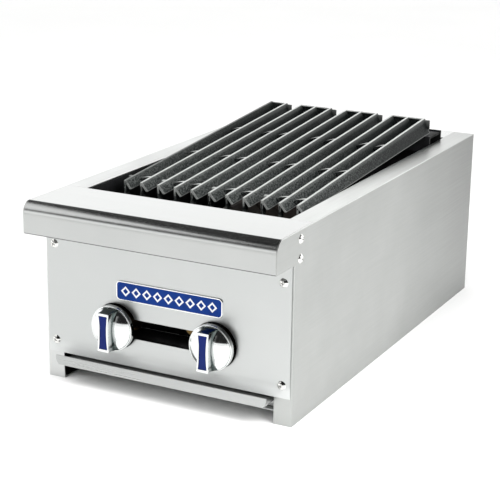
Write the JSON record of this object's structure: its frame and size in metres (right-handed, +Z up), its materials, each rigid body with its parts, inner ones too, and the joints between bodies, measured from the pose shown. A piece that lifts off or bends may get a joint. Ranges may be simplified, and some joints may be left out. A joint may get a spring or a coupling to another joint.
{
  "type": "charbroiler grill",
  "caption": "Countertop gas charbroiler: stainless box body with overhanging front rail, sloping cast grates, chrome knobs and a pull-out drip tray.",
  "frame": {"origin": "centre of the object's length and width, on the surface it stands on", "axes": "+X to the right seen from the front, +Y to the back, +Z up"},
  "size_m": [0.3102, 0.6052, 0.2424],
  "materials": {
    "stainless": "satin, brushed",
    "aluminised": "dull",
    "dark_liner": "heat-darkened matt",
    "cast_grate": "rough cast, worn ridges",
    "cast_radiant": "rough cast",
    "burner_steel": "dull",
    "black_pipe": "black oxide",
    "brass": "machined",
    "copper_tube": "drawn tube",
    "stem_steel": "turned",
    "knob_chrome": "polished",
    "knob_blue": "enamel",
    "plate_silver": "bright",
    "plate_blue": "enamel",
    "screw_chrome": "polished"
  },
  "bodies": {
    "chassis": {"side_panel_left": "stainless", "side_panel_right": "stainless", "front_rail": "stainless", "front_panel": "stainless", "back_panel": "stainless", "rear_base_rail": "aluminised", "tray_runner_left": "aluminised", "tray_runner_right": "aluminised", "firebox_liner_left": "dark_liner", "firebox_liner_right": "dark_liner", "firebox_liner_front": "dark_liner", "firebox_liner_rear": "dark_liner", "front_grate_rest": "dark_liner", "rear_grate_rest": "dark_liner", "radiant_ledge_front": "dark_liner", "radiant_ledge_rear": "dark_liner", "burner_rest": "dark_liner", "radiant_left": "cast_radiant", "radiant_right": "cast_radiant", "burner_left": "burner_steel", "burner_right": "burner_steel", "orifice_left": "brass", "orifice_right": "brass", "valve_left": "brass", "valve_right": "brass", "pilot_valve": "brass", "manifold_pipe": "black_pipe", "manifold_cap": "black_pipe", "manifold_elbow": "black_pipe", "gas_inlet_pipe": "black_pipe", "pilot_tube": "copper_tube", "pilot_burner": "burner_steel", "nameplate_frame": "plate_silver", "nameplate_face": "plate_blue", "front_screws": "screw_chrome", "side_screws": "screw_chrome", "rear_screws": "screw_chrome"},
    "left_knob": {"knob_left": "knob_chrome", "knob_insert_left": "knob_blue", "valve_stem_left": "stem_steel"},
    "right_knob": {"knob_right": "knob_chrome", "knob_insert_right": "knob_blue", "valve_stem_right": "stem_steel"},
    "tray": {"drip_tray": "stainless"},
    "left_shutter": {"air_shutter_left": "burner_steel"},
    "right_shutter": {"air_shutter_right": "burner_steel"},
    "first_grate": {"grate_1": "cast_grate"},
    "second_grate": {"grate_2": "cast_grate"},
    "third_grate": {"grate_3": "cast_grate"},
    "fourth_grate": {"grate_4": "cast_grate"}
  },
  "joints": [
    {"name": "left_knob_turn", "type": "hinge", "parent": "chassis", "child": "left_knob", "pos_m": [-0.0614, -0.2724, 0.0752], "axis": [0, -1, 0], "range_deg": [0, 90]},
    {"name": "right_knob_turn", "type": "hinge", "parent": "chassis", "child": "right_knob", "pos_m": [0.0614, -0.2724, 0.0752], "axis": [0, -1, 0], "range_deg": [0, 90]},
    {"name": "left_shutter_turn", "type": "hinge", "parent": "chassis", "child": "left_shutter", "pos_m": [-0.0614, -0.2004, 0.0752], "axis": [0, -1, 0], "range_deg": [0, 60]},
    {"name": "right_shutter_turn", "type": "hinge", "parent": "chassis", "child": "right_shutter", "pos_m": [0.0614, -0.2004, 0.0752], "axis": [0, -1, 0], "range_deg": [0, 60]},
    {"name": "tray_slide", "type": "slide", "parent": "chassis", "child": "tray", "axis": [0, -1, 0], "range_m": [0, 0.54]},
    {"name": "first_grate_lift", "type": "slide", "parent": "chassis", "child": "first_grate", "axis": [0, 0, 1], "range_m": [0, 0.12]},
    {"name": "second_grate_lift", "type": "slide", "parent": "chassis", "child": "second_grate", "axis": [0, 0, 1], "range_m": [0, 0.12]},
    {"name": "third_grate_lift", "type": "slide", "parent": "chassis", "child": "third_grate", "axis": [0, 0, 1], "range_m": [0, 0.12]},
    {"name": "fourth_grate_lift", "type": "slide", "parent": "chassis", "child": "fourth_grate", "axis": [0, 0, 1], "range_m": [0, 0.12]}
  ]
}
